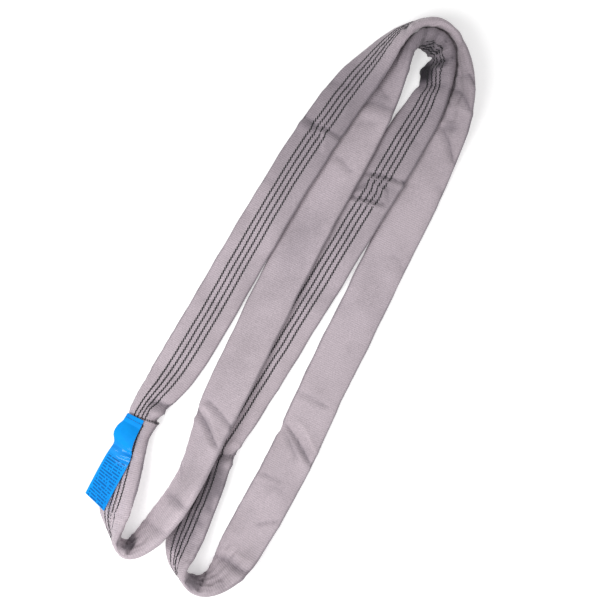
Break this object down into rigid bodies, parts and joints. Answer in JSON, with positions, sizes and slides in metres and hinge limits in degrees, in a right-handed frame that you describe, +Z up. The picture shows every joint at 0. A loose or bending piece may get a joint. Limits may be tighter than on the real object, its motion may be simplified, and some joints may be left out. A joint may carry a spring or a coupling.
{
  "type": "round sling",
  "caption": "Endless round lifting sling: a flat woven grey sleeve over a yarn core, with black tonne lines and a blue sewn-on label, laid down folded in half.",
  "frame": {"origin": "middle of the laid-down sling's outline, on the floor", "axes": "+Y along the legs to the end where the loop is folded in half, +X from the leg with the label to the outer plain leg, +Z up from the floor"},
  "size_m": [0.2993, 0.9669, 0.062],
  "materials": {
    "sleeve_cloth": "woven polyester, matt, fine cross ribs",
    "black_thread": "twisted polyester thread, matt",
    "core_yarn": "bundled filament yarn, silky",
    "core_tape": "thin self-adhesive tape",
    "label_cloth": "blue vinyl-coated label cloth, half gloss",
    "label_thread": "twisted polyester thread"
  },
  "bodies": {
    "sling": {"cover_sleeve": "sleeve_cloth", "tonne_line_1": "black_thread", "tonne_line_2": "black_thread", "tonne_line_3": "black_thread", "tonne_line_4": "black_thread", "joint_thread": "black_thread", "core_turn_01": "core_yarn", "core_turn_02": "core_yarn", "core_turn_03": "core_yarn", "core_turn_04": "core_yarn", "core_turn_05": "core_yarn", "core_turn_06": "core_yarn", "core_turn_07": "core_yarn", "core_turn_08": "core_yarn", "core_turn_09": "core_yarn", "core_turn_10": "core_yarn", "core_turn_11": "core_yarn", "core_turn_12": "core_yarn", "core_tape": "core_tape", "label_hem": "label_cloth", "label_stitches": "label_thread", "label_inner_tab": "label_cloth"},
    "label_flap": {"label_flap": "label_cloth"},
    "label_strip": {"label_strip": "label_cloth"}
  },
  "joints": [
    {"name": "label_lift", "type": "hinge", "parent": "sling", "child": "label_flap", "pos_m": [-0.12732, -0.30498, 0.02458], "axis": [-0.9659, 0, -0.2588], "range_deg": [0, 110]},
    {"name": "label_fold", "type": "hinge", "parent": "label_flap", "child": "label_strip", "pos_m": [-0.12632, -0.34398, 0.02658], "axis": [-0.9659, 0, -0.2588], "range_deg": [0, 60]}
  ]
}
